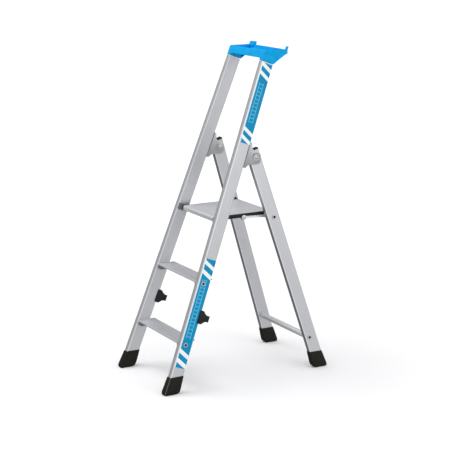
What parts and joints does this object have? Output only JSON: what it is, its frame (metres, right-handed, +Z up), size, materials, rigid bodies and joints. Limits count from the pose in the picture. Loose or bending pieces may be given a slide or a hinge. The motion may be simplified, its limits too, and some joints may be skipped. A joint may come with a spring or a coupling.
{
  "type": "folding step ladder",
  "caption": "Folding aluminium step ladder with flat treads, a hinged platform, a rear support frame and a shallow blue tool tray on top.",
  "frame": {"origin": "on the floor, at the middle of the open ladder's footprint", "axes": "+Z up, +Y from the treads towards the rear frame, +X across, to the right of a viewer who looks along +Y at the treads"},
  "size_m": [0.448, 0.7923, 1.382],
  "materials": {
    "anodised_aluminium": "extruded, satin silver anodised",
    "ribbed_aluminium": "extruded with fine tread ribs",
    "link_aluminium": "pressed plate, bright",
    "rivet_metal": "plain",
    "bracket_steel": "pressed sheet, zinc plated",
    "grey_plastic": "moulded, matt",
    "black_plastic": "moulded, matt",
    "foot_rubber": "moulded",
    "blue_plastic": "moulded, satin gloss",
    "label_film": "printed film with white diagonal stripes at both ends"
  },
  "bodies": {
    "front_frame": {"stile_right": "anodised_aluminium", "stile_left": "anodised_aluminium", "front_foot_right": "foot_rubber", "front_foot_left": "foot_rubber", "step_1": "ribbed_aluminium", "step_2": "ribbed_aluminium", "step_shoe_1_right": "grey_plastic", "step_shoe_1_left": "grey_plastic", "step_shoe_2_right": "grey_plastic", "step_shoe_2_left": "grey_plastic", "step_rivet_1_right": "rivet_metal", "step_rivet_1_left": "rivet_metal", "step_rivet_2_right": "rivet_metal", "step_rivet_2_left": "rivet_metal", "hinge_bracket_right": "bracket_steel", "hinge_bracket_left": "bracket_steel", "hinge_pin_right": "rivet_metal", "hinge_pin_left": "rivet_metal", "bracket_rivet_upper_right": "rivet_metal", "bracket_rivet_upper_left": "rivet_metal", "bracket_rivet_lower_right": "rivet_metal", "bracket_rivet_lower_left": "rivet_metal", "storage_clip_right": "black_plastic", "storage_clip_left": "black_plastic", "clip_rivet_right": "rivet_metal", "clip_rivet_left": "rivet_metal", "platform_bracket_right": "grey_plastic", "platform_bracket_left": "grey_plastic", "platform_pivot_right": "black_plastic", "platform_pivot_left": "black_plastic", "label_upper_right": "label_film", "label_upper_left": "label_film", "label_lower_right": "label_film", "label_lower_left": "label_film", "tool_tray": "blue_plastic"},
    "rear_frame": {"rear_leg_right": "anodised_aluminium", "rear_leg_left": "anodised_aluminium", "leg_plug_right": "black_plastic", "leg_plug_left": "black_plastic", "rear_foot_right": "foot_rubber", "rear_foot_left": "foot_rubber", "rear_brace": "anodised_aluminium", "brace_rivet_right": "rivet_metal", "brace_rivet_left": "rivet_metal", "link_rivet_right": "rivet_metal", "link_rivet_left": "rivet_metal", "leg_buffer_right": "foot_rubber", "leg_buffer_left": "foot_rubber"},
    "platform": {"platform_deck": "ribbed_aluminium", "deck_end_cap_right": "black_plastic", "deck_end_cap_left": "black_plastic"},
    "link_right": {"side_link_right": "link_aluminium", "link_elbow_pin_right": "rivet_metal"},
    "link_left": {"side_link_left": "link_aluminium", "link_elbow_pin_left": "rivet_metal"}
  },
  "joints": [
    {"name": "rear_frame_fold", "type": "hinge", "parent": "front_frame", "child": "rear_frame", "pos_m": [0, 0.0672, 0.9388], "axis": [-1, 0, 0], "range_deg": [0, 38.37]},
    {"name": "platform_fold", "type": "hinge", "parent": "front_frame", "child": "platform", "pos_m": [0, -0.1013, 0.688], "axis": [1, 0, 0], "range_deg": [0, 69.55]},
    {"name": "link_fold_right", "type": "hinge", "parent": "rear_frame", "child": "link_right", "pos_m": [0.139, 0.1497, 0.68], "axis": [-1, 0, 0], "range_deg": [0, 38.51]},
    {"name": "link_fold_left", "type": "hinge", "parent": "rear_frame", "child": "link_left", "pos_m": [-0.139, 0.1497, 0.68], "axis": [-1, 0, 0], "range_deg": [0, 38.51]}
  ],
  "couplings": [
    {"joint": "platform_fold", "follows": "rear_frame_fold", "ratio": 1.8126},
    {"joint": "link_fold_right", "follows": "rear_frame_fold", "ratio": 1.0036},
    {"joint": "link_fold_left", "follows": "rear_frame_fold", "ratio": 1.0036}
  ]
}
